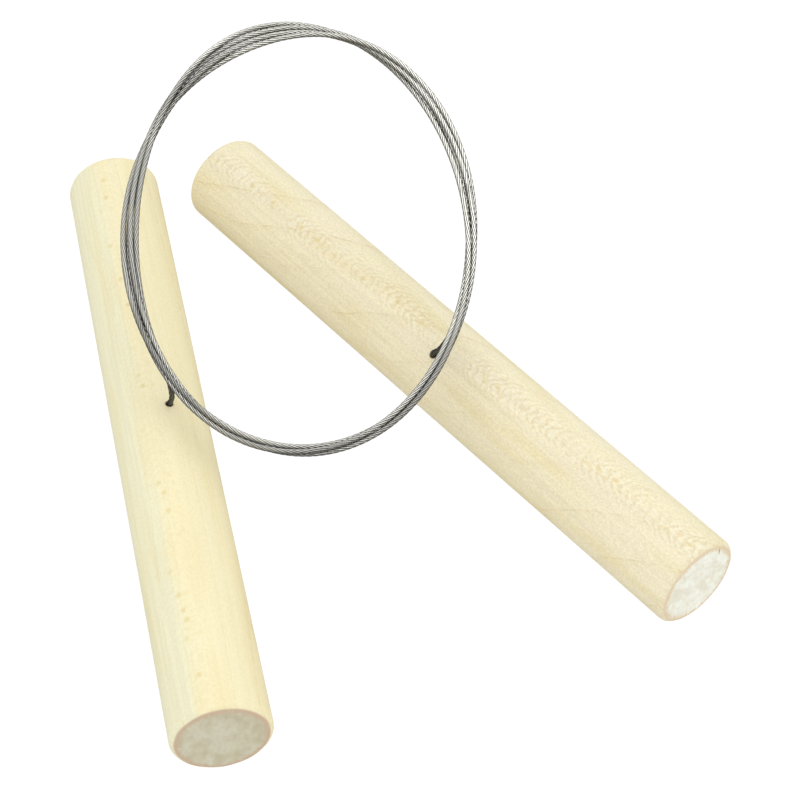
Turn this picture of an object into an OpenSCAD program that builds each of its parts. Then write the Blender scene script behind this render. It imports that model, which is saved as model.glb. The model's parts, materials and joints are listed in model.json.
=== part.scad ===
// Clay cutter: a coil of stranded wire between two wooden dowel handles.
// The handles lie on the table, and the coil leans up over them on its two stiff ends.
// Millimetres, +Z up, table at z = 0, origin under the middle of the two handles.

/* [Handles] */
// Diameter of each dowel
handle_d = 12; // [11:0.5:13]
// Length of each dowel
handle_l = 92; // [80:1:100]
// Radius of the softened edge at each end
edge_r = 0.9; // [0.2:0.1:1.2]
// Heading of the left handle, in degrees from straight towards the viewer
left_heading = 12; // [8:1:16]
// Heading of the right handle, in degrees from straight towards the viewer
right_heading = 40; // [36:1:48]
// Distance from the left handle's middle to the right one's, left to right
middles_x = 34.9; // [34:0.1:40]
// Distance from the left handle's middle to the right one's, front to back
middles_y = 12.2; // [8:0.1:14]

/* [Wire holes] */
// Diameter of the hole that the wire goes through
hole_d = 0.9; // [0.9:0.05:1.4]
// Widening of the hole's mouth, on the diameter
mouth_extra = 0.1; // [0.1:0.1:0.6]
// Lean of the left hole from upright, in degrees towards the right
left_lean = 12; // [6:1:16]
// Lean of the right hole from upright, in degrees towards the right
right_lean = -30; // [-34:1:-24]
// Distance of the right hole from the handle's middle, towards the near end
right_hole_off = 1.5; // [0:0.1:3]
// Diameter of the recess under each handle that takes the crimped ferrule
recess_d = 2.6; // [2.5:0.1:4]
// Depth of that recess
recess_deep = 3.2; // [3:0.1:4]

/* [Wire] */
// Diameter of the stranded wire
wire_d = 0.7; // [0.6:0.05:0.7]
// Step between neighbouring turns where the bundle is tight, in two rows
tight_pitch = 0.58; // [0.56:0.02:0.7]
// Step between them where the rows change sides and the bundle is a flat ribbon
flat_pitch = 1.24; // [1.22:0.02:1.3]
// Distance of each row from the middle of the bundle
weave = 0.55; // [0.53:0.01:0.58]
// Whole turns that the bundle twists in one trip round the ring
bundle_twist = 2; // [1:1:2]
// Diameter of the ferrule crimped on each end
ferrule_d = 2; // [1.6:0.1:2.2]
// Length of the ferrule
ferrule_l = 2.2; // [1.8:0.1:2.4]

/* [Ring] */
// Half width of the coiled ring
ring_half_w = 21; // [20:0.1:22]
// Half length of the coiled ring
ring_half_l = 27.2; // [26.5:0.1:28]
// Slope of the ring, in degrees from lying flat
ring_tilt = 28; // [26:1:30]
// Heading of the slope, in degrees to the left of straight back
ring_turn = 11; // [9:1:13]

/* [Hidden] */

handle_r = handle_d / 2;
wire_r = wire_d / 2;
slack = 0.1;

// Room that a dowel takes along X and Y at a heading, to either side of its middle
function reach_x(a) = (handle_l / 2 - edge_r) * sin(a) + (handle_r - edge_r) * cos(a) + edge_r;
function reach_y(a) = (handle_l / 2 - edge_r) * cos(a) + (handle_r - edge_r) * sin(a) + edge_r;
left_middle = [(reach_x(left_heading) - reach_x(right_heading) - middles_x) / 2,
               (reach_y(left_heading) - reach_y(right_heading) - middles_y) / 2,
               handle_r];
right_middle = left_middle + [middles_x, middles_y, 0];

// Turns of a point about the three directions that the pieces use
function about_x(p, a) = [p.x, p.y * cos(a) - p.z * sin(a), p.y * sin(a) + p.z * cos(a)];
function about_y(p, a) = [p.x * cos(a) + p.z * sin(a), p.y, p.z * cos(a) - p.x * sin(a)];
function about_z(p, a) = [p.x * cos(a) - p.y * sin(a), p.x * sin(a) + p.y * cos(a), p.z];
function unit(v) = v / norm(v);

// A point in the frame of a hole: z runs up the hole from the dowel's axis
function at_left(p) = left_middle + about_z(about_y(p, left_lean), left_heading);
function at_right(p) = right_middle
    + about_z(about_y(p - [0, right_hole_off, 0], right_lean), right_heading);

// The ring: an oval on a slope, which the bundle of turns twists along.
// Every other turn lies in the same row, and the two rows change sides once in each trip.
ring_centre = [-9.5, 14.2, 24.5];
left_join = 218;
right_join = -20;
whole_turns = 3;
travel = whole_turns * 360 + left_join - right_join;
flat_at = 16;
weave_at = 37.5;
crossing = 0.45;
rings_per_turn = 24;
coil_steps = ceil(rings_per_turn * travel / 360);

function ring_place(p) = ring_centre + about_z(about_x(about_z(p, -ring_turn), ring_tilt), ring_turn);
function ring_out(t) = unit([ring_half_l * cos(t), ring_half_w * sin(t)]);

// Centre of the wire after so many degrees of travel from the left join
function wire_at(u) =
    let (t = left_join - u,
         swing = cos(t / 2 + weave_at),
         row = swing / sqrt(swing * swing + crossing * crossing),
         pitch = flat_pitch + (tight_pitch - flat_pitch) * row * row,
         step = (u - travel / 2) / 360 * pitch,
         side = weave * row,
         turned = bundle_twist * (t - flat_at),
         out = (step * cos(turned) - side * sin(turned)) * ring_out(t),
         up = step * sin(turned) + side * cos(turned))
    ring_place([ring_half_w * cos(t) + out.x, ring_half_l * sin(t) + out.y, up]);

coil_line = [for (i = [0:coil_steps]) wire_at(min(i * 360 / rings_per_turn, travel))];
left_away = unit(wire_at(0) - wire_at(1));
right_away = unit(wire_at(travel) - wire_at(travel - 1));
left_end = coil_line[0] + wire_d * left_away;
right_end = coil_line[coil_steps] + wire_d * right_away;

// The wire's two ends, each in its hole's frame, from the ferrule up to the ring
end_z = -handle_r + recess_deep - slack - ferrule_l;
left_route = [[0, 0, end_z], [0, 0, -3], [0, 0, -1], [0, 0, 1], [0, 0, 3], [0, 0, 5], [0, 0, 6.2],
              [0.1, -0.4, 7.3], [-0.2, -0.5, 8.7], [-0.6, 0.1, 10]];
right_route = [[0, 0, end_z], [0, 0, -3], [0, 0, -1], [0, 0, 1], [0, 0, 3], [0, 0, 5], [0, 0, 6.2],
               [0.2, -0.7, 7.5], [0.5, -1, 7.8], [0.7, -1.5, 8.2], [2.5, -2.3, 9.7]];
left_line = concat([for (p = left_route) at_left(p)], [left_end]);
right_line = concat([for (p = right_route) at_right(p)], [right_end]);

// A smooth line through a list of points, with so many steps between neighbours
function blend(a, b, c, d, f) = b + 0.5 * f * (c - a + f * (2 * a - 5 * b + 4 * c - d
    + f * (3 * (b - c) + d - a)));
function smooth(line, steps) = let (last = len(line) - 1) concat(
    [for (i = [0:last - 1], k = [0:steps - 1])
        blend(line[max(i - 1, 0)], line[i], line[i + 1], line[min(i + 2, last)], k / steps)],
    [line[last]]);

// A tube along a line of points, with flat ends square to the two given directions
function ring_dir(line, i, first, last) =
    i == 0 ? first : i == len(line) - 1 ? last
    : unit(unit(line[i] - line[i - 1]) + unit(line[i + 1] - line[i]));
function square_to(v, dir) = unit(v - (v * dir) * dir);
module tube(line, first, last, sides) {
    n = len(line);
    dirs = [for (i = [0:n - 1]) ring_dir(line, i, first, last)];
    start = square_to(abs(first.z) < 0.8 ? [0, 0, 1] : [1, 0, 0], first);
    across = [for (i = 0, v = start; i < n; i = i + 1, v = i < n ? square_to(v, dirs[i]) : v) v];
    points = [for (i = [0:n - 1], k = [0:sides - 1])
        let (a = k * 360 / sides)
        line[i] + wire_r * (across[i] * cos(a) + cross(dirs[i], across[i]) * sin(a))];
    skin = [for (i = [0:n - 2], k = [0:sides - 1], half = [0, 1])
        let (a = i * sides + k, b = i * sides + (k + 1) % sides)
        half == 0 ? [a, a + sides, b] : [b, a + sides, b + sides]];
    cap_start = [for (k = [1:sides - 2]) [0, k, k + 1]];
    cap_end = [for (k = [1:sides - 2]) [0, k + 1, k] + (n - 1) * sides * [1, 1, 1]];
    polyhedron(points = points, faces = concat(skin, cap_start, cap_end));
}

// Least gap of the coil to itself, on its points and half way between them
module print_least_gap() {
    count = 2 * coil_steps;
    p = [for (i = [0:count])
        (coil_line[floor(i / 2)] + coil_line[ceil(i / 2)]) / 2];
    gaps = [for (i = [0:count - rings_per_turn])
        min([for (j = [i + rings_per_turn:count]) norm(p[i] - p[j])]) - wire_d];
    echo(least_gap_of_the_coil_mm = min(gaps));
}

// A straight dowel along Y with softened end edges
module dowel() {
    rotate([90, 0, 0]) rotate_extrude($fn = 96) {
        translate([0, -handle_l / 2]) square([handle_r - edge_r, handle_l]);
        translate([0, edge_r - handle_l / 2]) square([handle_r, handle_l - 2 * edge_r]);
        for (end = [-1, 1])
            translate([handle_r - edge_r, end * (handle_l / 2 - edge_r)]) circle(edge_r, $fn = 32);
    }
}

// The drilled hole, its eased mouth on top and the ferrule's recess underneath
module wire_hole() {
    translate([0, 0, -handle_r - 1]) cylinder(d = hole_d, h = handle_d + 2, $fn = 48);
    translate([0, 0, handle_r - mouth_extra / 2])
        cylinder(d1 = hole_d, d2 = hole_d + 2 * mouth_extra, h = mouth_extra, $fn = 48);
    translate([0, 0, -handle_r - 1]) cylinder(d = recess_d, h = recess_deep + 1, $fn = 48);
}

module handle(hole_off) {
    difference() {
        dowel();
        translate([0, -hole_off, 0]) wire_hole();
    }
}

// A short sleeve crimped on the wire, with its edges broken
module ferrule() {
    bevel = 0.25;
    translate([0, 0, end_z]) rotate_extrude($fn = 48)
        polygon([[wire_r, 0], [ferrule_d / 2 - bevel, 0], [ferrule_d / 2, bevel],
                 [ferrule_d / 2, ferrule_l - bevel], [ferrule_d / 2 - bevel, ferrule_l],
                 [wire_r, ferrule_l]]);
}

module left_handle() {
    color([0.95, 0.91, 0.74]) translate(left_middle)
        rotate([0, 0, left_heading]) rotate([0, left_lean, 0]) handle(0);
}

module right_handle() {
    color([0.95, 0.92, 0.77]) translate(right_middle)
        rotate([0, 0, right_heading]) rotate([0, right_lean, 0]) handle(right_hole_off);
}

module wire_coil() {
    print_least_gap();
    color([0.52, 0.52, 0.49])
        tube(concat([left_end], coil_line, [right_end]), -left_away, right_away, 6);
}

module wire_lead_left() {
    color([0.52, 0.52, 0.49])
        tube(smooth(left_line, 2), unit(at_left([0, 0, 1]) - left_middle), -left_away, 8);
}

module wire_lead_right() {
    color([0.52, 0.52, 0.49])
        tube(smooth(right_line, 2), unit(at_right([0, 0, 1]) - at_right([0, 0, 0])), -right_away, 8);
}

module ferrule_left() {
    color([0.72, 0.72, 0.7]) translate(left_middle)
        rotate([0, 0, left_heading]) rotate([0, left_lean, 0]) ferrule();
}

module ferrule_right() {
    color([0.72, 0.72, 0.7]) translate(right_middle)
        rotate([0, 0, right_heading]) rotate([0, right_lean, 0])
        translate([0, -right_hole_off, 0]) ferrule();
}

left_handle();
right_handle();
wire_coil();
wire_lead_left();
wire_lead_right();
ferrule_left();
ferrule_right();
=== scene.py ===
"""Clay cutter: a coil of stranded wire between two wooden dowel handles.

Builds the look of every piece around the loaded frame, in metres with +Z up. The handles rest
at z = 0.
"""

import json
import math
from functools import reduce

import bmesh
import bpy
import numpy as np
from bpy.props import FloatProperty, FloatVectorProperty, IntProperty, PointerProperty
from bpy.types import Operator, Panel, PropertyGroup
from mathutils import Matrix, Vector


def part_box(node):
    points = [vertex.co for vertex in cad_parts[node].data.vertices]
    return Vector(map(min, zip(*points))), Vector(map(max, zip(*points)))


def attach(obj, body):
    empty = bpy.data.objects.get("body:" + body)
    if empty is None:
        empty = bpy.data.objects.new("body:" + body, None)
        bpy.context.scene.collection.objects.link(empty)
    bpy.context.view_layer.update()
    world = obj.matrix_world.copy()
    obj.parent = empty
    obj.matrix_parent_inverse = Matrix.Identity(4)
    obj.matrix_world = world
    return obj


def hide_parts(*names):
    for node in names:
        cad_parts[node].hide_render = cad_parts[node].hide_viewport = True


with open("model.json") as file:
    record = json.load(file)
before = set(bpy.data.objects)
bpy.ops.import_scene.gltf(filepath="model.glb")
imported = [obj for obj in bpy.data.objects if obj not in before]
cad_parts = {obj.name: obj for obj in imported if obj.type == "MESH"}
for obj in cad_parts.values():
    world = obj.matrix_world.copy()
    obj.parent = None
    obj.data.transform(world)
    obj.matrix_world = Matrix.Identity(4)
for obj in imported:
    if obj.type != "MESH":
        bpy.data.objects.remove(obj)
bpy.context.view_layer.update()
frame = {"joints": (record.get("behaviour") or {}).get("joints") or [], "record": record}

bl_info = {
    "name": "Clay cutter",
    "version": (1, 0, 0),
    "blender": (4, 5, 0),
    "location": "3D View > Sidebar > Clay Cutter",
    "description": "Builds a clay cutter's wire, ferrules and wooden handles, and a plain stage",
    "category": "Add Mesh",
}

MM = 0.001
SIDES = ("left", "right")
FULL_TURN = 2 * math.pi


def srgb(red, green, blue):
    """A colour as a screen shows it, 0 to 255, turned into the linear one that shaders take."""
    shown = (red / 255, green / 255, blue / 255)
    return tuple(c / 12.92 if c < 0.04 else ((c + 0.055) / 1.055) ** 2.4 for c in shown)


class Dowel:
    """Where one handle lies: X runs across it, Y along it to its far end and Z up its hole."""

    def __init__(self, side):
        end = next(m for m in frame["record"]["mounts"] if m["name"] == f"{side}_handle_end")
        joint = next(j for j in frame["joints"] if j["child"] == f"{side}_handle")
        low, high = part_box(f"{side}_handle")
        middle = (low + high) / 2
        along = -Vector(end["axis"]).normalized()
        up = Vector(joint["axis"]).normalized()
        turn = Matrix((along.cross(up), along, up)).transposed()
        self.half_length = (Vector(end["pos_m"]) - middle).length
        self.diameter = high.z - low.z
        self.hole_at = (Vector(joint["pos_m"]) - middle).dot(along)
        self.place = Matrix.Translation(middle) @ turn.to_4x4()
        self.hole_place = self.place @ Matrix.Translation((0, self.hole_at, 0))


DOWELS = {side: Dowel(side) for side in SIDES}

# The wire's ends in millimetres, in the frame of each one's hole: heights on the axis, from the
# ferrule up, and then the way on to the ring
IN_HOLE = (-5.1, -3, -1, 1, 3, 5, 6.2)
END_ROUTES = {
    "left": [(0.1, -0.4, 7.3), (-0.2, -0.5, 8.7), (-0.6, 0.1, 10)],
    "right": [(0.2, -0.7, 7.5), (0.5, -1, 7.8), (0.7, -1.5, 8.2), (2.5, -2.3, 9.7)],
}

# Where the ends join the ring and how far the wire travels round it, in degrees
LEFT_JOIN = 218
RIGHT_JOIN = -20
WHOLE_TURNS = 3
TRAVEL = WHOLE_TURNS * 360 + LEFT_JOIN - RIGHT_JOIN

# Angles that place the bundle's flat part and its rows' change of sides, and how gentle that is
FLAT_AT = math.radians(16)
WEAVE_AT = math.radians(37.5)
CROSSING = 0.45

# Length of each end up to the ring, in millimetres
END_LENGTH = 15

# Points round each strand, and distance from one section of the rope to the next
STRAND_POINTS = 7
ROPE_STEP = 0.3 * MM

# Width of the camera's sensor, in millimetres
SENSOR = 36

# Tones of the wood that both handles share
BETWEEN_CRESCENTS = srgb(250, 244, 222)
DRILLED = srgb(120, 86, 52)


class HandleSizes(PropertyGroup):
    """Sizes that both handles share."""

    length: FloatProperty(
        name="Length", description="Length of each dowel",
        default=2 * DOWELS["left"].half_length, unit="LENGTH")
    diameter: FloatProperty(
        name="Diameter", description="Diameter of each dowel",
        default=DOWELS["left"].diameter, unit="LENGTH")
    edge: FloatProperty(
        name="Softened edge", description="Radius of the sanded edge at each end",
        default=0.9 * MM, unit="LENGTH")
    wobble: FloatProperty(
        name="Wobble", description="How far the turned side strays from a true round",
        default=0.03 * MM, unit="LENGTH")
    hole_d: FloatProperty(
        name="Hole", description="Diameter of the hole that the wire goes through",
        default=0.9 * MM, unit="LENGTH")
    mouth_extra: FloatProperty(
        name="Mouth", description="Widening of the hole's mouth, on the diameter",
        default=0.1 * MM, unit="LENGTH")
    recess_d: FloatProperty(
        name="Recess", description="Diameter of the ferrule's recess under the handle",
        default=2.6 * MM, unit="LENGTH")
    recess_deep: FloatProperty(
        name="Recess depth", description="Depth of the ferrule's recess",
        default=3.2 * MM, unit="LENGTH")
    crack_length: FloatProperty(
        name="Crack", description="Length of the drying crack in the right handle's near end",
        default=1.3 * MM, unit="LENGTH")


class WireSizes(PropertyGroup):
    """Sizes of the stranded wire, its coil and its ferrules."""

    diameter: FloatProperty(
        name="Wire", description="Diameter of the stranded wire", default=0.7 * MM, unit="LENGTH")
    strands: IntProperty(name="Strands", description="Strands round the core", default=6, min=3)
    lay: FloatProperty(
        name="Lay", description="Length in which a strand goes once round the wire",
        default=4.9 * MM, unit="LENGTH")
    filled: FloatProperty(
        name="Filled grooves", description="How much of the grooves the drawn strands fill",
        default=0.3)
    tight_pitch: FloatProperty(
        name="Tight pitch", default=0.36 * MM, unit="LENGTH",
        description="Step between neighbouring turns where they lie in two rows")
    flat_pitch: FloatProperty(
        name="Flat pitch", description="Step between them where they cross in a flat ribbon",
        default=0.73 * MM, unit="LENGTH")
    weave: FloatProperty(
        name="Weave", description="Distance of each row from the middle of the bundle",
        default=0.34 * MM, unit="LENGTH")
    bundle_twist: IntProperty(
        name="Bundle twist", default=2,
        description="Turns of the bundle in one trip round the ring")
    ring_half_w: FloatProperty(
        name="Ring half width", description="Half width of the coiled ring",
        default=21 * MM, unit="LENGTH")
    ring_half_l: FloatProperty(
        name="Ring half length", description="Half length of the coiled ring",
        default=27.2 * MM, unit="LENGTH")
    ring_centre: FloatVectorProperty(
        name="Ring centre", description="Middle of the coiled ring",
        default=(-9.5 * MM, 14.2 * MM, 24.5 * MM), unit="LENGTH")
    ring_tilt: FloatProperty(
        name="Ring slope", description="Slope of the ring from lying flat",
        default=math.radians(28), subtype="ANGLE")
    ring_turn: FloatProperty(
        name="Slope heading", description="Heading of the slope, to the left of straight back",
        default=math.radians(11), subtype="ANGLE")
    ferrule_d: FloatProperty(
        name="Ferrule", description="Diameter of the crimped ferrule",
        default=2 * MM, unit="LENGTH")
    ferrule_l: FloatProperty(
        name="Ferrule length", description="Length of the crimped ferrule",
        default=2.2 * MM, unit="LENGTH")


class MetalLook(PropertyGroup):
    """Colours of the metal pieces."""

    steel: FloatVectorProperty(
        name="Steel", description="Bright wire", subtype="COLOR", default=srgb(232, 231, 222))
    # Tone of the grease and scuffs, and of the painted shade on the wire
    grime_and_shade: FloatVectorProperty(
        name="Grime", description="Dark grease between strands", subtype="COLOR",
        default=srgb(58, 58, 58))
    sleeve: FloatVectorProperty(
        name="Sleeve", description="Ferrules", subtype="COLOR", default=srgb(205, 205, 200))


class WoodLook:
    """Colours and figure of one handle's wood."""

    pale: FloatVectorProperty(
        name="Pale", description="Paler side", subtype="COLOR", default=srgb(240, 236, 202))
    warm: FloatVectorProperty(
        name="Warm", description="Warmer side", subtype="COLOR", default=srgb(246, 236, 195))
    line: FloatVectorProperty(
        name="Line", description="Lines of late growth and curl", subtype="COLOR",
        default=srgb(222, 200, 146))
    spot: FloatVectorProperty(
        name="Spot", description="Orange spots", subtype="COLOR", default=srgb(230, 212, 148))
    # These end tones, which the left handle keeps, are darkened with painted shade
    end: FloatVectorProperty(
        name="End grain", description="Sawn ends", subtype="COLOR", default=srgb(190, 183, 154))
    end_cloud: FloatVectorProperty(
        name="End clouds", description="Patches on the sawn ends", subtype="COLOR",
        default=srgb(206, 202, 179))
    # Tone of the pores and end flecks, and of the painted shade in a band round each end's rim
    rim: FloatVectorProperty(
        name="End rim", description="Sanded rim of the ends", subtype="COLOR",
        default=srgb(200, 176, 150))
    warm_at: FloatProperty(
        name="Warm from", description="Place across the handle where the wood turns warmer",
        default=-3.5 * MM, unit="LENGTH")
    ring_spacing: FloatProperty(
        name="Ring spacing", description="Distance between growth rings",
        default=1.5 * MM, unit="LENGTH")
    ring_angle: FloatProperty(
        name="Ring heading", description="Direction across the growth rings",
        default=math.radians(8), subtype="ANGLE")
    run_out: FloatProperty(
        name="Run-out", description="Slope of the growth rings along the handle", default=0.01)
    line_share: FloatProperty(
        name="Line strength", description="How much the late growth darkens the wood", default=0.3)
    ridge: FloatProperty(
        name="Figure at", description="Place across the handle of its row of spots and crescents",
        default=-2.6 * MM, unit="LENGTH")
    drift: FloatProperty(
        name="Figure drift", description="How far that row drifts across along the handle")
    curl_share: FloatProperty(
        name="Curl strength", description="How much the crescents show", default=0.08)
    mottle: FloatProperty(
        name="Mottle", description="How much the fine speckle varies the tone", default=0.06)
    stripe: FloatProperty(
        name="Stripe strength", description="How much the broad warm stripes show", default=0.18)
    seed: FloatProperty(name="Seed", description="Another seed is another plank", default=1.0)


class LeftWood(WoodLook, PropertyGroup):
    """The left handle's wood: straight lines, and warmer to the right."""


class RightWood(WoodLook, PropertyGroup):
    """The right handle's wood: a row of crescents, and lines that run out at a slant."""

    pale: FloatVectorProperty(
        name="Pale", description="Paler side", subtype="COLOR", default=srgb(245, 235, 203))
    warm: FloatVectorProperty(
        name="Warm", description="Warmer side", subtype="COLOR", default=srgb(248, 239, 205))
    # The right handle's end tones are lightened with painted light
    end: FloatVectorProperty(
        name="End grain", description="Sawn ends", subtype="COLOR", default=srgb(245, 247, 235))
    end_cloud: FloatVectorProperty(
        name="End clouds", description="Patches on the sawn ends", subtype="COLOR",
        default=srgb(230, 226, 208))
    # Tone of the pores and end flecks, and of the painted shade in a band round each end's rim
    rim: FloatVectorProperty(
        name="End rim", description="Sanded rim of the ends", subtype="COLOR",
        default=srgb(226, 206, 174))
    warm_at: FloatProperty(
        name="Warm from", description="Place across the handle where the wood turns warmer",
        default=3 * MM, unit="LENGTH")
    ring_spacing: FloatProperty(
        name="Ring spacing", description="Distance between growth rings",
        default=4 * MM, unit="LENGTH")
    ring_angle: FloatProperty(
        name="Ring heading", description="Direction across the growth rings",
        default=math.radians(14), subtype="ANGLE")
    run_out: FloatProperty(
        name="Run-out", description="Slope of the growth rings along the handle", default=0.36)
    line_share: FloatProperty(
        name="Line strength", description="How much the late growth darkens the wood", default=0.6)
    ridge: FloatProperty(
        name="Figure at", description="Place across the handle of its row of spots and crescents",
        default=2.2 * MM, unit="LENGTH")
    drift: FloatProperty(
        name="Figure drift", description="How far that row drifts across along the handle",
        default=-0.02)
    curl_share: FloatProperty(
        name="Curl strength", description="How much the crescents show", default=0.34)
    mottle: FloatProperty(
        name="Mottle", description="How much the fine speckle varies the tone", default=0.13)
    stripe: FloatProperty(
        name="Stripe strength", description="How much the broad warm stripes show", default=0.34)
    seed: FloatProperty(name="Seed", description="Another seed is another plank", default=7.0)


class StageLook(PropertyGroup):
    """The camera's place, the white surround and the lights."""

    target: FloatVectorProperty(
        name="Target", description="Point that the camera looks at",
        default=(2.7 * MM, 3.75 * MM, 6 * MM), unit="LENGTH")
    distance: FloatProperty(
        name="Distance", description="Camera's distance from the target",
        default=313.9 * MM, unit="LENGTH")
    elevation: FloatProperty(
        name="Elevation", description="Height of the view above level",
        default=0.835, subtype="ANGLE")
    lens: FloatProperty(
        name="Lens", description="Focal length in millimetres", default=112.5)
    card: FloatVectorProperty(
        name="Card", description="White card that throws light back up", subtype="COLOR",
        default=(0.86, 0.86, 0.86))
    card_height: FloatProperty(
        name="Card height", default=-16 * MM, unit="LENGTH",
        description="Height of the card, under the reach of the swivelled handles")
    key_power: FloatProperty(
        name="Key light", description="Softbox above and to the right", default=0.3,
        subtype="POWER")
    fill_power: FloatProperty(
        name="Fill light", description="Softbox at the front left", default=0.15, subtype="POWER")
    tent: FloatProperty(
        name="Tent", description="Brightness of the tent that lights the wood", default=1.05)
    glint_side: FloatProperty(
        name="Side surround", default=0.45,
        description="What the metal mirrors level with the handles")
    glint_low: FloatProperty(
        name="Dark surround", description="What the metal mirrors between that and overhead",
        default=0.2)
    glint_high: FloatProperty(
        name="Bright surround", description="What the metal mirrors overhead", default=2.1)


# Shader helpers, with lengths in millimetres

class Nodes:
    """Adds nodes to one tree and feeds their sockets."""

    def __init__(self, tree):
        self.tree = tree

    def add(self, kind, inputs=None, **settings):
        node = self.tree.nodes.new("ShaderNode" + kind)
        for name, value in settings.items():
            setattr(node, name, value)
        for socket, value in (inputs or {}).items():
            self.feed(node.inputs[socket], value)
        return node

    def feed(self, socket, value):
        if isinstance(value, bpy.types.NodeSocket):
            self.tree.links.new(value, socket)
        elif socket.type == "RGBA" and len(value) == 3:
            socket.default_value = (*value, 1)
        else:
            socket.default_value = value

    def math(self, operation, *values):
        return self.add("Math", dict(enumerate(values)), operation=operation).outputs[0]

    def plus(self, *values):
        return reduce(lambda a, b: self.math("ADD", a, b), values)

    def minus(self, value, less):
        return self.math("SUBTRACT", value, less)

    def times(self, a, b):
        return self.math("MULTIPLY", a, b)

    def most(self, *values):
        return reduce(lambda a, b: self.math("MAXIMUM", a, b), values)

    def distance(self, a, b):
        """How far the point (a, b) is from (0, 0)."""
        return self.math("SQRT", self.plus(*(self.math("POWER", c, 2.0) for c in (a, b))))

    def scaled(self, position, scale):
        node = self.add("VectorMath", {0: position, 1: scale}, operation="MULTIPLY")
        return node.outputs[0]

    def noise(self, position, scale, detail, seed):
        """Smooth noise from 0 to 1, with its scale set for each direction."""
        inputs = {"Vector": self.scaled(position, scale), "Scale": 1.0, "Detail": detail, "W": seed}
        return self.add("TexNoise", inputs, noise_dimensions="4D").outputs[0]

    def ramp(self, value, low, high, to_low=0.0, to_high=1.0):
        """A soft step from one value to another."""
        inputs = {"Value": value, "From Min": low, "From Max": high,
                  "To Min": to_low, "To Max": to_high}
        return self.add("MapRange", inputs, interpolation_type="SMOOTHSTEP").outputs[0]

    def blend(self, share, under, over, kind="MIX"):
        inputs = {0: share, 6: under, 7: over}
        return self.add("Mix", inputs, data_type="RGBA", blend_type=kind).outputs[2]

    def axes(self, position):
        return self.add("SeparateXYZ", {0: position}).outputs

    def millimetres(self):
        """Where each point lies in the part's frame."""
        return self.scaled(self.add("TexCoord").outputs["Object"], (1 / MM,) * 3)

    def dress(self, shader, colour, roughness, height, strength, depth):
        """Feeds the shader, with the height as its relief, and lays the whole tree out."""
        relief = self.add("Bump", {"Height": height, "Strength": strength, "Distance": depth})
        self.feed(shader.inputs["Base Color"], colour)
        self.feed(shader.inputs["Roughness"], roughness)
        self.feed(shader.inputs["Normal"], relief.outputs[0])
        self.arrange()

    def arrange(self):
        """Lays the nodes out in columns, each to the left of what it feeds."""
        column = {node: 0 for node in self.tree.nodes}
        for _ in range(len(column)):
            moved = False
            for link in self.tree.links:
                wanted = column[link.to_node] + 1
                if column[link.from_node] < wanted:
                    column[link.from_node] = wanted
                    moved = True
            if not moved:
                break
        wide, tall, used = 220, 190, {}
        for node, step in column.items():
            used[step] = used.get(step, 0) + 1
            node.location = (-wide * step, -tall * used[step])


def new_group(name, inputs, outputs, build):
    """A shader node group. build gets its nodes and input sockets, and returns the outputs."""
    tree = bpy.data.node_groups.new(name, "ShaderNodeTree")
    for label, (kind, value) in inputs.items():
        socket = tree.interface.new_socket(label, in_out="INPUT", socket_type="NodeSocket" + kind)
        if value is not None:
            socket.default_value = value
    for label in outputs:
        tree.interface.new_socket(label, in_out="OUTPUT", socket_type="NodeSocketFloat")
    nodes = Nodes(tree)
    entry = tree.nodes.new("NodeGroupInput").outputs
    leave = tree.nodes.new("NodeGroupOutput").inputs
    for label, value in build(nodes, entry).items():
        nodes.feed(leave[label], value)
    nodes.arrange()
    return tree


def growth_rings(nodes, entry):
    """Hairlines where the growth rings meet the surface, each year with its own strength."""
    place, seed, spacing = entry["Millimetres"], entry["Seed"], entry["Spacing"]
    x, y, z = nodes.axes(place)
    wander = nodes.noise(place, (0.12, 0.014, 0.12), 0.0, seed)
    wander = nodes.times(nodes.minus(wander, 0.5), 6.0)
    jitter = nodes.times(nodes.noise(place, (0.9, 0.4, 0.9), 2.0, seed), 0.16)
    across = nodes.plus(nodes.times(x, nodes.math("COSINE", entry["Heading"])),
                        nodes.times(z, nodes.math("SINE", entry["Heading"])),
                        nodes.times(y, entry["Run-out"]), wander, jitter)
    ring = nodes.math("DIVIDE", across, spacing)
    left = nodes.times(nodes.minus(1.0, nodes.math("FRACT", ring)), spacing)
    hair = nodes.times(nodes.ramp(left, 0.26, 0.06), nodes.ramp(left, 0.0, 0.05))
    dash = nodes.ramp(nodes.noise(place, (1.2, 0.7, 1.2), 2.0, seed), 0.38, 0.62)
    soft = nodes.times(nodes.ramp(left, 1.2, 0.0), 0.25)
    year = nodes.add("TexWhiteNoise", {"W": nodes.math("FLOOR", ring)}, noise_dimensions="1D")
    weight = nodes.plus(nodes.times(year.outputs[0], 0.75), 0.25)
    return {"Line": nodes.times(nodes.plus(nodes.times(hair, dash), soft), weight)}


def fibres(nodes, entry):
    """Fine streaks along the grain, short pores, speckle and broad changes of tone."""
    place, seed = entry["Millimetres"], entry["Seed"]
    return {
        "Streak": nodes.noise(place, (2.2, 0.05, 2.2), 3.0, seed),
        "Pore": nodes.ramp(nodes.noise(place, (6.0, 1.3, 6.0), 1.0, seed), 0.66, 0.78),
        "Speckle": nodes.noise(place, (4.2, 3.0, 4.2), 3.0, seed),
        "Broad": nodes.noise(place, (0.35, 0.05, 0.35), 2.0, seed),
    }


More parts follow.
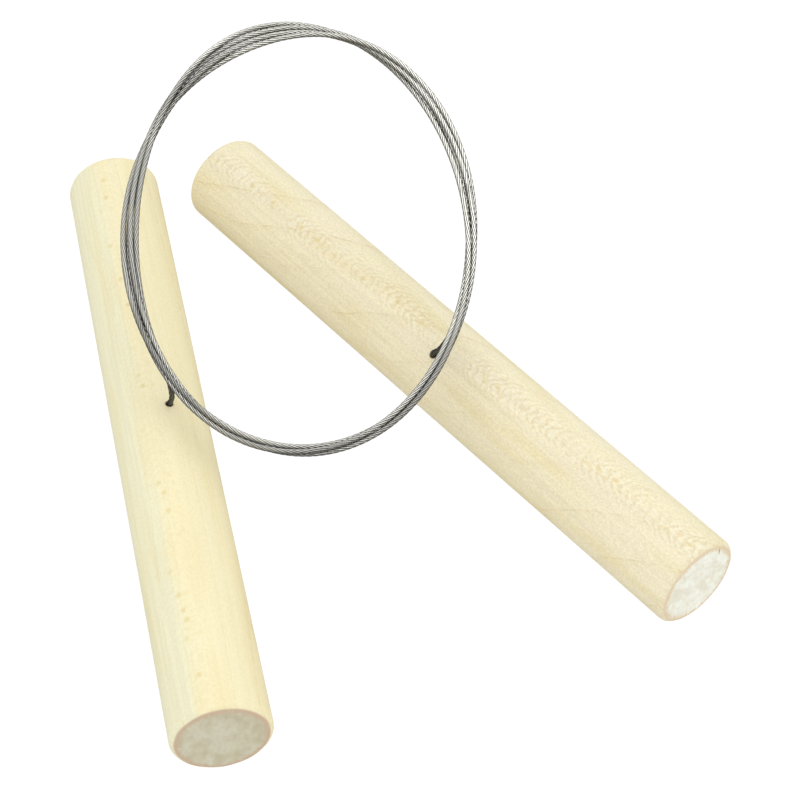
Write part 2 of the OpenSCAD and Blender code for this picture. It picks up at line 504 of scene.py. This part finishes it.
def figure(nodes, entry):
    """A row of small crescents that bulge to the far end, with orange spots among them."""
    crescent_step = 1.2
    place, seed = entry["Millimetres"], entry["Seed"]
    x, y, _ = nodes.axes(place)
    sway = nodes.times(nodes.noise(place, (0.02, 0.05, 0.02), 1.0, seed), 2.4)
    line = nodes.plus(entry["At"], nodes.times(y, entry["Drift"]))
    off = nodes.plus(nodes.minus(x, line), nodes.minus(sway, 1.2))
    aside = nodes.math("ABSOLUTE", off)
    bulge = nodes.times(nodes.math("POWER", aside, 2.0), 0.5)
    warp = nodes.times(nodes.noise(place, (0.9, 0.7, 0.9), 4.0, seed), 3.4)
    phase = nodes.times(nodes.plus(y, bulge, warp), FULL_TURN / crescent_step)
    bar = nodes.math("SINE", phase)
    patch = nodes.ramp(nodes.noise(place, (0.1, 0.16, 0.1), 1.0, seed), 0.26, 0.56)
    shown = nodes.times(nodes.ramp(aside, 2.8, 0.6), patch)
    grid = nodes.add("CombineXYZ", {0: nodes.times(off, 0.55),
                                    1: nodes.plus(nodes.times(y, 0.4), seed)}).outputs[0]
    dots = nodes.add("TexVoronoi", {"Vector": grid, "Scale": 1.0}, voronoi_dimensions="2D").outputs
    weight = nodes.add("SeparateColor", {0: dots["Color"]}).outputs[0]
    spot = nodes.times(nodes.ramp(dots["Distance"], 0.24, 0.04), nodes.ramp(aside, 1.3, 0.6))
    return {"Arc": nodes.times(nodes.ramp(bar, -0.1, 1.0), shown),
            "Gap": nodes.times(nodes.ramp(bar, -0.1, -1.0), shown),
            "Spot": nodes.times(spot, weight)}


def make_groups():
    """The shader groups that the two handles share, made once each."""
    place = {"Millimetres": ("Vector", None), "Seed": ("Float", 1.0)}
    rings = {**place, "Heading": ("Float", 0.3), "Spacing": ("Float", 1.6),
             "Run-out": ("Float", 0.0)}
    row = {**place, "At": ("Float", 0.0), "Drift": ("Float", 0.0)}
    return {
        "rings": new_group("Growth rings", rings, ("Line",), growth_rings),
        "fibres": new_group("Fibres", place, ("Streak", "Pore", "Speckle", "Broad"), fibres),
        "figure": new_group("Figure", row, ("Arc", "Gap", "Spot"), figure),
    }


def new_material(name, settings):
    """A material, the tools to feed it, and its Principled shader with these settings."""
    material = bpy.data.materials.new(name)
    material.use_nodes = True
    shader = material.node_tree.nodes["Principled BSDF"]
    for socket, value in settings.items():
        shader.inputs[socket].default_value = value
    return material, Nodes(material.node_tree), shader


def wood_material(name, look, dowel, sizes, groups):
    """Pale sanded hardwood with its lines, spots and curl, and its sawn ends."""
    material, nodes, shader = new_material(name, {"Specular IOR Level": 0.3})
    home = Matrix.Scale(1 / MM, 4) @ dowel.place.inverted()
    place = nodes.add("Mapping", {
        "Vector": nodes.add("TexCoord").outputs["Object"], "Location": home.to_translation(),
        "Rotation": home.to_euler(), "Scale": home.to_scale()}).outputs[0]
    x, y, z = nodes.axes(place)
    known = {"Millimetres": place, "Seed": look.seed}
    rings = nodes.add("Group", {**known, "Heading": look.ring_angle, "Run-out": look.run_out,
                                "Spacing": look.ring_spacing / MM},
                      node_tree=groups["rings"]).outputs["Line"]
    grain = nodes.add("Group", known, node_tree=groups["fibres"]).outputs
    row = nodes.add("Group", {**known, "At": look.ridge / MM, "Drift": look.drift},
                    node_tree=groups["figure"]).outputs

    # The side: pale to warm, then stripes, lines, crescents, spots, pores, streaks and speckle
    warm_from, warm_to = look.warm_at / MM - 1.2, look.warm_at / MM + 1.6
    warmth = nodes.plus(nodes.ramp(x, warm_from, warm_to, 0.0, 0.8),
                        nodes.ramp(grain["Broad"], 0.35, 0.7, -0.1, 0.4))
    stripe = nodes.ramp(grain["Broad"], 0.45, 0.68, 0.0, look.stripe)
    colour = nodes.blend(nodes.ramp(warmth, 0.0, 1.0), look.pale, look.warm)
    colour = nodes.blend(stripe, colour, look.spot)
    for mark, share, tone in ((rings, look.line_share, look.line),
                              (row["Arc"], look.curl_share, look.line),
                              (row["Gap"], look.curl_share, BETWEEN_CRESCENTS),
                              (row["Spot"], 0.75, look.spot),
                              (grain["Pore"], 0.2, look.rim)):
        colour = nodes.blend(nodes.times(mark, share), colour, tone)
    streak = nodes.times(nodes.ramp(grain["Streak"], 0.36, 0.66),
                         nodes.ramp(x, warm_from, warm_to, 0.06, 0.02))
    speckle = nodes.ramp(grain["Speckle"], 0.3, 0.7, 1.0 - look.mottle, 1.0)
    tone = nodes.times(nodes.minus(1.0, streak), speckle)
    grey = nodes.add("CombineColor", {0: tone, 1: tone, 2: tone}).outputs[0]
    colour = nodes.blend(1.0, colour, grey, "MULTIPLY")

    # The ends: fibres seen end on, clouded, with painted shade round the rim; their tones hold
    # painted shade on the left handle and painted light on the right
    half, radius, edge = sizes.length / 2 / MM, sizes.diameter / 2 / MM, sizes.edge / MM
    at_end = nodes.ramp(nodes.math("ABSOLUTE", y), half - 0.2 * edge, half - 0.04 * edge)
    speck = nodes.noise(place, (2.2, 0.5, 1.6), 3.0, look.seed)
    cloud = nodes.noise(place, (0.8, 0.1, 0.5), 3.0, look.seed)
    ragged = nodes.plus(nodes.distance(x, z), nodes.times(nodes.minus(speck, 0.5), 1.6))
    # Painted shade in a ragged band where the end turns into its rounded edge
    rim_shade = nodes.ramp(ragged, radius - edge - 0.5, radius - edge + 0.15)
    cut = nodes.blend(nodes.ramp(cloud, 0.3, 0.68), look.end, look.end_cloud)
    cut = nodes.blend(nodes.ramp(speck, 0.45, 0.75, 0.0, 0.45), cut, look.rim)
    cut = nodes.blend(rim_shade, cut, look.rim)
    colour = nodes.blend(at_end, colour, cut)

    # The drilled hole is darker, and so is the wood just round it
    hole_r = sizes.hole_d / 2 / MM
    from_hole = nodes.distance(x, nodes.minus(y, dowel.hole_at / MM))
    at_hole = nodes.ramp(from_hole, hole_r + 0.2, hole_r - 0.02, 0.0, 0.8)
    colour = nodes.blend(at_hole, colour, DRILLED)

    height = nodes.plus(nodes.times(grain["Streak"], 0.5), nodes.times(grain["Pore"], -0.5),
                        nodes.times(speck, at_end))
    rough = nodes.plus(nodes.ramp(grain["Streak"], 0.3, 0.7, 0.48, 0.62),
                       nodes.times(at_end, 0.25))
    nodes.dress(shader, colour, rough, height, strength=0.4, depth=0.02 * MM)
    return material


def rope_material(look, length):
    """Bright steel strands, with grease in the grooves and the fine wires of each strand. Painted
    shade darkens the grooves, the flanks, stretches and two sides of the coil and both ends of the
    length, which is in millimetres; the coil's upper right has less of it, as a painted highlight."""
    wires_per_strand, wire_lay = 4, 0.45
    material, nodes, shader = new_material("stranded_steel", {"Metallic": 1.0})
    around, along, _ = nodes.axes(nodes.add("UVMap", uv_map="strand").outputs[0])
    place = nodes.millimetres()
    across, back, _ = nodes.axes(place)

    # Grease and painted shade in the grooves, painted shade on the flanks and along both ends, and
    # grease in patches
    groove = nodes.math("ABSOLUTE", nodes.minus(nodes.math("FRACT", around), 0.5))
    groove = nodes.ramp(groove, 0.24, 0.48, 0.0, 0.95)
    facing = nodes.add("LayerWeight", {"Blend": 0.5}).outputs["Facing"]
    # Painted shade on the wire's flanks, darker the more they turn from view
    flank = nodes.ramp(facing, 0.08, 0.55, 0.0, 0.97)
    patch = nodes.ramp(nodes.noise(place, (0.5, 0.5, 0.5), 3.0, 3.0), 0.45, 0.75, 0.0, 0.35)
    # Painted shade along both ends, where the coil shades the leads
    from_end = nodes.math("MINIMUM", along, nodes.minus(length, along))
    ends = nodes.ramp(from_end, END_LENGTH + 4, END_LENGTH, 0.0, 0.8)

    # Painted shade in stretches along the wire, with less of it on the coil's upper right as a
    # painted highlight, and painted shade on two sides
    stretch = nodes.noise(nodes.add("CombineXYZ", {0: along}).outputs[0], (0.035, 0, 0), 1.0, 3.0)
    painted_light_upper_right = nodes.ramp(nodes.math("MULTIPLY_ADD", across, 2.0, back), 27, 37, 1.0, 0.25)
    shaded_stretches = nodes.times(painted_light_upper_right, nodes.ramp(stretch, 0.36, 0.62, 0.0, 0.65))
    shade_left = nodes.ramp(across, -24, -29, 0.0, 0.45)
    shade_far = nodes.ramp(back, 33, 38, 0.0, 0.35)
    # The strongest of grease and painted shade decides how far the steel turns dark
    share = nodes.most(groove, flank, shaded_stretches, ends, patch, shade_left, shade_far)

    wires = nodes.plus(nodes.times(around, wires_per_strand * FULL_TURN),
                       nodes.times(along, FULL_TURN / wire_lay))
    nodes.dress(shader, nodes.blend(share, look.steel, look.grime_and_shade),
                nodes.ramp(share, 0.0, 1.0, 0.22, 0.5), nodes.math("SINE", wires),
                strength=0.12, depth=0.012 * MM)
    return material


def sleeve_material(look):
    """Soft aluminium, scuffed where the crimping jaws closed on it."""
    material, nodes, shader = new_material("crimped_aluminium", {"Metallic": 1.0})
    scuff = nodes.noise(nodes.millimetres(), (3.0, 3.0, 14.0), 3.0, 2.0)
    colour = nodes.blend(nodes.ramp(scuff, 0.45, 0.7, 0.0, 0.5), look.sleeve, look.grime_and_shade)
    nodes.dress(shader, colour, nodes.ramp(scuff, 0.3, 0.7, 0.3, 0.5), scuff,
                strength=0.4, depth=0.02 * MM)
    return material


# Mesh helpers

def skin(rings, sides):
    """Quads between neighbouring rings of points, closed round each ring."""
    ring, side = np.meshgrid(np.arange(rings - 1), np.arange(sides), indexing="ij")
    a = ring * sides + side
    b = ring * sides + (side + 1) % sides
    return np.stack([a, b, b + sides, a + sides], -1).reshape(-1, 4)


def new_piece(name, points, faces, material=None):
    """An object from points and faces, with its faces turned outwards."""
    mesh = bpy.data.meshes.new(name)
    mesh.from_pydata(np.asarray(points).tolist(), [], [list(map(int, f)) for f in faces])
    work = bmesh.new()
    work.from_mesh(mesh)
    bmesh.ops.recalc_face_normals(work, faces=work.faces)
    work.to_mesh(mesh)
    work.free()
    if material:
        mesh.materials.append(material)
    piece = bpy.data.objects.new(name, mesh)
    bpy.context.scene.collection.objects.link(piece)
    return piece


def smooth_shading(piece, sharpest=math.radians(35)):
    mesh = piece.data
    mesh.polygons.foreach_set("use_smooth", [True] * len(mesh.polygons))
    mesh.set_sharp_from_angle(angle=sharpest)


def angles_round(sides):
    return np.arange(sides) * FULL_TURN / sides


def turned(profile, sides, reach):
    """Rings of points round Z, one for each (radius, height) of the profile. reach scales all
    radii but the first and the last, from their height and angle."""
    angles = angles_round(sides)
    radii, heights = (np.outer(column, np.ones(sides)) for column in np.transpose(profile))
    radii[1:-1] *= reach(heights[1:-1], angles)
    return np.stack([radii * np.cos(angles), radii * np.sin(angles), heights], -1)


def capped(points, sides, middles):
    """Points and faces of a form skinned over its rings of points and closed at both ends."""
    rings = len(points) // sides
    near, far, last = len(points), len(points) + 1, (rings - 1) * sides
    faces = [*skin(rings, sides)]
    for k in range(sides):
        after = (k + 1) % sides
        faces += [(near, k, after), (far, last + after, last + k)]
    return np.vstack([points, middles]), faces


def lathe(profile, sides, reach):
    """Points and faces of a solid form turned round Z. Its outline starts and ends on the axis."""
    rings = turned(profile, sides, reach)
    return capped(rings[1:-1].reshape(-1, 3), sides, rings[[0, -1], 0])


def tube(profile, sides, reach):
    """Points and faces of a ring-shaped form turned round Z, from its closed outline."""
    points = turned(profile, sides, reach).reshape(-1, 3)
    return points, skin(len(profile) + 1, sides) % len(points)


def waves(seed, count, lowest, highest):
    """A function of two numbers that wanders smoothly between -1 and 1."""
    random = np.random.default_rng(seed)
    pitch = random.uniform(lowest, highest, (count, 2)) * random.choice([-1, 1], (count, 2))
    shift = random.uniform(0, FULL_TURN, count)
    return lambda a, b: sum(
        np.sin(np.round(p[0]) * a + p[1] * b + s) for p, s in zip(pitch, shift)) / count


# The wire

def unit(v):
    return v / np.linalg.norm(v)


def ring_points(wire, travelled):
    """The wire's centre on the ring, after so many degrees of travel from the left join."""
    t = np.radians(LEFT_JOIN - np.asarray(travelled, float))

    # The place in the bundle: one of two rows, and a step along it for each turn
    swing = np.cos(t / 2 + WEAVE_AT)
    row = swing / np.sqrt(swing ** 2 + CROSSING ** 2)
    pitch = wire.flat_pitch + (wire.tight_pitch - wire.flat_pitch) * row ** 2
    step = (np.asarray(travelled) - TRAVEL / 2) / 360 * pitch
    side = wire.weave * row
    twist = wire.bundle_twist * (t - FLAT_AT)
    outwards = step * np.cos(twist) - side * np.sin(twist)
    up = step * np.sin(twist) + side * np.cos(twist)

    # The same on the oval ring, laid at its slope
    out = np.stack([wire.ring_half_l * np.cos(t), wire.ring_half_w * np.sin(t)], 1)
    out /= np.linalg.norm(out, axis=1)[:, None]
    flat = np.stack([wire.ring_half_w * np.cos(t) + outwards * out[:, 0],
                     wire.ring_half_l * np.sin(t) + outwards * out[:, 1], up], 1)
    slope = (Matrix.Rotation(wire.ring_turn, 3, "Z") @ Matrix.Rotation(wire.ring_tilt, 3, "X")
             @ Matrix.Rotation(-wire.ring_turn, 3, "Z"))
    return flat @ np.array(slope).T + np.array(wire.ring_centre)


def through(points, steps):
    """A smooth line through the points, up to the last but one."""
    line = []
    for i in range(len(points) - 2):
        a, b, c, d = (points[j] for j in (max(i - 1, 0), i, i + 1, i + 2))
        for f in np.arange(steps) / steps:
            line.append(b + 0.5 * f * (c - a + f * (2 * a - 5 * b + 4 * c - d
                                                    + f * (3 * (b - c) + d - a))))
    return line


def evenly(points, spacing):
    """The same line with its points evenly spaced."""
    gaps = np.linalg.norm(np.diff(points, axis=0), axis=1)
    at = np.concatenate([[0], np.cumsum(gaps)])
    wanted = np.linspace(0, at[-1], round(at[-1] / spacing) + 1)
    return np.stack([np.interp(wanted, at, points[:, k]) for k in range(3)], 1)


def wire_line(wire):
    """The wire's centre from ferrule to ferrule."""
    ends = {}
    for side, join, onwards in (("left", 0, 2), ("right", TRAVEL, -2)):
        first, second = ring_points(wire, [join, join + onwards])
        place = np.array(DOWELS[side].hole_place)
        route = [(0, 0, height) for height in IN_HOLE] + END_ROUTES[side]
        route = [place[:3, :3] @ (np.array(p) * MM) + place[:3, 3] for p in route]
        before = first + wire.diameter * unit(first - second)
        ends[side] = through(route + [before, first, second], steps=12)
    coil = ring_points(wire, np.arange(TRAVEL + 1))
    line = evenly(np.vstack([ends["left"], coil, ends["right"][::-1]]), ROPE_STEP)
    smoothings = 6
    for _ in range(smoothings):
        line[1:-1] = (line[:-2] + 2 * line[1:-1] + line[2:]) / 4
    return line


def rope(wire, line):
    """The strands' outer surface, swept and twisted along the line."""
    pinch = math.sin(math.pi / wire.strands)
    strand_r = wire.diameter / 2 * pinch / (1 + pinch)
    centre_r = wire.diameter / 2 - strand_r
    half_turn = math.pi / 2 + math.pi / wire.strands
    local = np.linspace(-half_turn, half_turn, STRAND_POINTS + 1)[:-1]
    local = np.tile(local, wire.strands)
    heading = np.repeat(angles_round(wire.strands), STRAND_POINTS)
    section = centre_r * np.exp(1j * heading) + strand_r * np.exp(1j * (heading + local))
    section *= 1 + wire.filled * (wire.diameter / 2 / abs(section) - 1)

    ahead = np.gradient(line, axis=0)
    ahead /= np.linalg.norm(ahead, axis=1)[:, None]
    across = unit(np.cross(ahead[0], (1, 0, 0)))
    points = []
    for i, (centre, direction) in enumerate(zip(line, ahead)):
        across = unit(across - across.dot(direction) * direction)
        twisted = section * np.exp(2j * math.pi * i * ROPE_STEP / wire.lay)
        points.append(centre + twisted.real[:, None] * across
                      + twisted.imag[:, None] * np.cross(direction, across))
    sides, last = len(section), (len(line) - 1) * len(section)
    ends = [range(sides - 1, -1, -1), range(last, last + sides)]
    return np.concatenate(points), [*skin(len(line), sides), *ends]


def lay_map(piece, sides):
    """A map whose U counts strands round the wire and whose V is the length in millimetres."""
    corners = np.empty(len(piece.data.loops), int)
    piece.data.loops.foreach_get("vertex_index", corners)
    side = corners % sides

    # A quad between the last side and the first one goes on to the number after the last
    quads = side[:-2 * sides].reshape(-1, 4)
    wraps = (quads.min(1) == 0) & (quads.max(1) == sides - 1)
    quads[wraps[:, None] & (quads == 0)] = sides
    uv = np.stack([side / STRAND_POINTS, corners // sides * ROPE_STEP / MM], 1)
    piece.data.uv_layers.new(name="strand").data.foreach_set("uv", uv.ravel())


class CUTTER_OT_ferrules(Operator):
    """Make the crimped ferrules that hold the wire in its handles"""

    bl_idname = "cutter.ferrules"
    bl_label = "Make Ferrules"

    def execute(self, context):
        wire = context.scene.cutter_wire
        material = sleeve_material(context.scene.cutter_metal)
        outer, bore, length = wire.ferrule_d / 2, wire.diameter / 2, wire.ferrule_l
        bevel, dent_width, dent_share, flats = 0.2 * MM, 0.28 * MM, 0.1, 4
        sides, wall_rings, bevel_rings = 72, 33, 4
        low = IN_HOLE[0] * MM
        dents = low + length * np.array([0.3, 0.7])

        def crimp(height, angle):
            pressed = sum(np.exp(-((height - dent) / dent_width) ** 2) for dent in dents)
            return 1 - dent_share * pressed * (0.5 + 0.5 * np.cos(flats * angle))

        straight = length - 2 * bevel
        wall = [(outer, low + bevel + f * straight) for f in np.linspace(0, 1, wall_rings)]
        round_off = [(outer - bevel * (1 - math.sin(a)), bevel * (1 - math.cos(a)))
                     for a in np.linspace(0, math.pi / 2, bevel_rings + 1)[:-1]]
        profile = [(bore, low), *((r, low + h) for r, h in round_off), *wall,
                   *((r, low + length - h) for r, h in round_off[::-1]), (bore, low + length)]
        for side in SIDES:
            piece = new_piece(f"{side}_crimp", *tube(profile, sides, crimp), material)
            smooth_shading(piece)
            piece.data.transform(DOWELS[side].hole_place)
            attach(piece, "wire")
            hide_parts(f"ferrule_{side}")
        return {"FINISHED"}


class CUTTER_OT_wire(Operator):
    """Make the stranded cutting wire and its coil"""

    bl_idname = "cutter.wire"
    bl_label = "Make Wire"

    def execute(self, context):
        wire = context.scene.cutter_wire
        line = wire_line(wire)
        length = np.linalg.norm(np.diff(line, axis=0), axis=1).sum()
        material = rope_material(context.scene.cutter_metal, length / MM)
        piece = new_piece("cutting_wire", *rope(wire, line), material)
        smooth_shading(piece, math.radians(60))
        lay_map(piece, wire.strands * STRAND_POINTS)
        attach(piece, "wire")
        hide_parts("wire_coil", "wire_lead_left", "wire_lead_right")
        return {"FINISHED"}


# The handles

def turned_dowel(sizes, seed):
    """Points and faces of a dowel along Y, from the near end's middle to the far end's."""
    sides, side_rings, disc_rings, arc_rings = 144, 220, 14, 7
    slow, fine, fine_share, nibbled = 12 * MM, 3 * MM, 0.15, 0.07
    half, radius = sizes.length / 2, sizes.diameter / 2
    angles = angles_round(sides)
    sway, ripple = waves(seed, 5, 1, 3), waves(seed + 1, 9, 3, 14)
    nibble = waves(seed + 2, 8, 3, 17)
    rings = []
    for end in (-1, 1):
        edge = sizes.edge * (1 + nibbled * nibble(angles, end))
        disc = [((radius - edge) * f, np.full(sides, half))
                for f in np.linspace(0, 1, disc_rings + 1)[1:]]
        arc = [(radius - edge + edge * math.sin(a), half - edge + edge * math.cos(a))
               for a in np.linspace(0, math.pi / 2, arc_rings + 1)[1:]]
        rings.append([(r, end * y) for r, y in disc + arc])
    straight = half - 2 * sizes.edge
    side = [(np.full(sides, radius), np.full(sides, y))
            for y in np.linspace(-straight, straight, side_rings)]
    points = []
    for r, y in rings[0] + side + rings[1][::-1]:
        stray = sizes.wobble * (sway(angles, y / slow) - 1) / 2
        stray += fine_share * sizes.wobble * (ripple(angles, y / fine) - 1)
        wide = r + stray * (r / radius)
        points.append(np.stack([wide * np.sin(angles), y, wide * np.cos(angles)], 1))
    return capped(np.concatenate(points), sides, [(0, -half, 0), (0, half, 0)])


def hole_cutter(sizes, seed):
    """What the drill takes away: the hole, its eased mouth and the ferrule's recess."""
    hole, mouth, recess = sizes.hole_d / 2, sizes.mouth_extra / 2, sizes.recess_d / 2
    top = sizes.diameter / 2
    beyond, deep, eased = top + MM, sizes.recess_deep - top, top - mouth
    sides, band, torn = 56, 0.4 * MM, 0.035
    profile = [(0, -beyond), (recess, -beyond), (recess, deep), (hole, deep),
               (hole, eased - band), (hole, eased), (hole + mouth, top),
               (hole + mouth + MM, beyond), (0, beyond)]
    rough = waves(seed, 6, 2, 9)
    return lathe(profile, sides, lambda height, angle: 1 + torn * rough(angle, height / MM))


def crack_cutter(sizes):
    """A thin wedge for the drying crack, in the right handle's near end."""
    length, width, deep, off_centre = sizes.crack_length, 0.2 * MM, 0.9 * MM, 4.8 * MM
    outline = [(-length / 2, 0), (-0.1 * length, width / 2), (0.2 * length, 0.4 * width),
               (length / 2, 0), (0.1 * length, -width / 2), (-0.25 * length, -0.4 * width)]
    face = -sizes.length / 2
    where, lie = math.radians(20), math.radians(60)
    middle = off_centre * Vector((math.cos(where), 0, math.sin(where)))
    along = Vector((math.cos(lie), 0, math.sin(lie)))
    aside = Vector((math.sin(lie), 0, -math.cos(lie)))
    points = [middle + along * u + aside * v + Vector((0, y, 0))
              for y in (face - MM, face + deep) for u, v in outline]
    count = len(outline)
    faces = [(k, (k + 1) % count, (k + 1) % count + count, k + count) for k in range(count)]
    return points, faces + [tuple(range(count)), tuple(range(count, 2 * count))]


def carve(piece, cutters):
    """Takes the cutters away from the piece and removes them."""
    for points, faces, offset in cutters:
        tool = new_piece("tool", [Vector(p) + Vector(offset) for p in points], faces)
        cut = piece.modifiers.new("cut", "BOOLEAN")
        cut.operation, cut.solver, cut.object = "DIFFERENCE", "EXACT", tool
    bpy.context.view_layer.update()
    final = piece.evaluated_get(bpy.context.evaluated_depsgraph_get())
    carved = bpy.data.meshes.new_from_object(final)
    carved.name = piece.name
    for cut in list(piece.modifiers):
        tool = cut.object
        piece.modifiers.remove(cut)
        bpy.data.objects.remove(tool)
    piece.data = carved


class CUTTER_OT_handles(Operator):
    """Make the two wooden handles, each drilled for the wire"""

    bl_idname = "cutter.handles"
    bl_label = "Make Handles"

    def execute(self, context):
        sizes = context.scene.cutter_handles
        groups = make_groups()
        for seed, side in enumerate(SIDES):
            dowel = DOWELS[side]
            look = getattr(context.scene, f"cutter_{side}_wood")
            material = wood_material(f"{side}_hardwood", look, dowel, sizes, groups)
            piece = new_piece(f"{side}_dowel", *turned_dowel(sizes, 10 * seed + 3), material)
            cutters = [(*hole_cutter(sizes, seed + 5), (0, dowel.hole_at, 0))]
            if side == "right":
                cutters.append((*crack_cutter(sizes), (0, 0, 0)))
            carve(piece, cutters)
            piece.data.transform(dowel.place)
            smooth_shading(piece)
            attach(piece, f"{side}_handle")
            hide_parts(f"{side}_handle")
        return {"FINISHED"}


# The stage

def softbox(name, power, target, place, size):
    """A square area light that faces the target."""
    data = bpy.data.lights.new(name, "AREA")
    data.size, data.energy = size, power
    light = bpy.data.objects.new(name, data)
    light.location = place
    light.rotation_euler = (Vector(target) - Vector(place)).to_track_quat("-Z", "Y").to_euler()
    bpy.context.scene.collection.objects.link(light)


class CUTTER_OT_stage(Operator):
    """Make the camera, the white surround and the soft studio lights"""

    bl_idname = "cutter.stage"
    bl_label = "Make Stage"

    def execute(self, context):
        scene, look = context.scene, context.scene.cutter_stage
        data = bpy.data.cameras.new("camera")
        data.lens, data.sensor_width, data.clip_start = look.lens, SENSOR, 10 * MM
        camera = bpy.data.objects.new("camera", data)
        back = Vector((0, -math.cos(look.elevation), math.sin(look.elevation)))
        camera.location = Vector(look.target) + look.distance * back
        camera.rotation_euler = (math.pi / 2 - look.elevation, 0, 0)
        scene.collection.objects.link(camera)
        scene.camera = camera
        scene.view_settings.view_transform = "Standard"

        # The card throws light back up, but the metal mirrors only a dim one
        matt = {"Roughness": 0.8, "Specular IOR Level": 0.1}
        material, nodes, shader = new_material("white_card", matt)
        mirrored = nodes.add("LightPath").outputs["Is Glossy Ray"]
        dim = tuple(0.25 * shade for shade in look.card)
        nodes.feed(shader.inputs["Base Color"], nodes.blend(mirrored, look.card, dim))
        half = 2.0
        corners = [(x, y, look.card_height)
                   for x, y in ((-half, -half), (half, -half), (half, half), (-half, half))]
        card = new_piece("white_card", corners, [(0, 1, 2, 3)], material)
        card.visible_camera = False

        softbox("key", look.key_power, look.target, place=(0.24, -0.08, 0.6), size=0.6)
        softbox("fill", look.fill_power, look.target, place=(-0.5, -0.2, 0.35), size=0.45)

        # An even tent for the wood. The metal mirrors a dark band between overhead and level
        world = bpy.data.worlds.new("tent")
        world.use_nodes = True
        nodes = Nodes(world.node_tree)
        height = nodes.axes(nodes.add("TexCoord").outputs["Generated"])[2]
        background = world.node_tree.nodes["Background"]
        background.inputs["Color"].default_value = (1, 1, 1, 1)
        mirrored = nodes.add("LightPath").outputs["Is Glossy Ray"]
        seen = nodes.plus(nodes.ramp(height, 0.57, 0.88, look.glint_low, look.glint_high),
                          nodes.ramp(height, 0.3, 0.0, 0.0, look.glint_side))
        nodes.feed(background.inputs["Strength"],
                   nodes.add("Mix", {0: mirrored, 2: look.tent, 3: seen}).outputs[0])
        scene.world = world
        return {"FINISHED"}


class CUTTER_PT_panel(Panel):
    """Sizes and looks of the clay cutter"""

    bl_idname = "CUTTER_PT_panel"
    bl_label = "Clay Cutter"
    bl_space_type = "VIEW_3D"
    bl_region_type = "UI"
    bl_category = "Clay Cutter"

    def draw(self, context):
        for name, (operator, groups) in STEPS.items():
            box = self.layout.box()
            box.operator(operator, text=name)
            for group in groups:
                values = getattr(context.scene, group)
                for prop in values.bl_rna.properties:
                    if prop.identifier not in ("rna_type", "name"):
                        box.prop(values, prop.identifier)


STEPS = {
    "Stage": ("cutter.stage", ("cutter_stage",)),
    "Ferrules": ("cutter.ferrules", ()),
    "Wire": ("cutter.wire", ("cutter_wire", "cutter_metal")),
    "Handles": ("cutter.handles", ("cutter_handles", "cutter_left_wood", "cutter_right_wood")),
}
SETTINGS = {
    "cutter_handles": HandleSizes,
    "cutter_wire": WireSizes,
    "cutter_metal": MetalLook,
    "cutter_left_wood": LeftWood,
    "cutter_right_wood": RightWood,
    "cutter_stage": StageLook,
}
OPERATORS = (CUTTER_OT_stage, CUTTER_OT_ferrules, CUTTER_OT_wire, CUTTER_OT_handles)


def register():
    for cls in (*SETTINGS.values(), *OPERATORS, CUTTER_PT_panel):
        bpy.utils.register_class(cls)
    for name, cls in SETTINGS.items():
        setattr(bpy.types.Scene, name, PointerProperty(type=cls))


def unregister():
    for name in SETTINGS:
        delattr(bpy.types.Scene, name)
    for cls in (CUTTER_PT_panel, *OPERATORS[::-1], *list(SETTINGS.values())[::-1]):
        bpy.utils.unregister_class(cls)


def main():
    register()
    bpy.ops.cutter.stage()
    bpy.ops.cutter.ferrules()
    bpy.ops.cutter.wire()
    bpy.ops.cutter.handles()


if __name__ == "__main__":
    main()
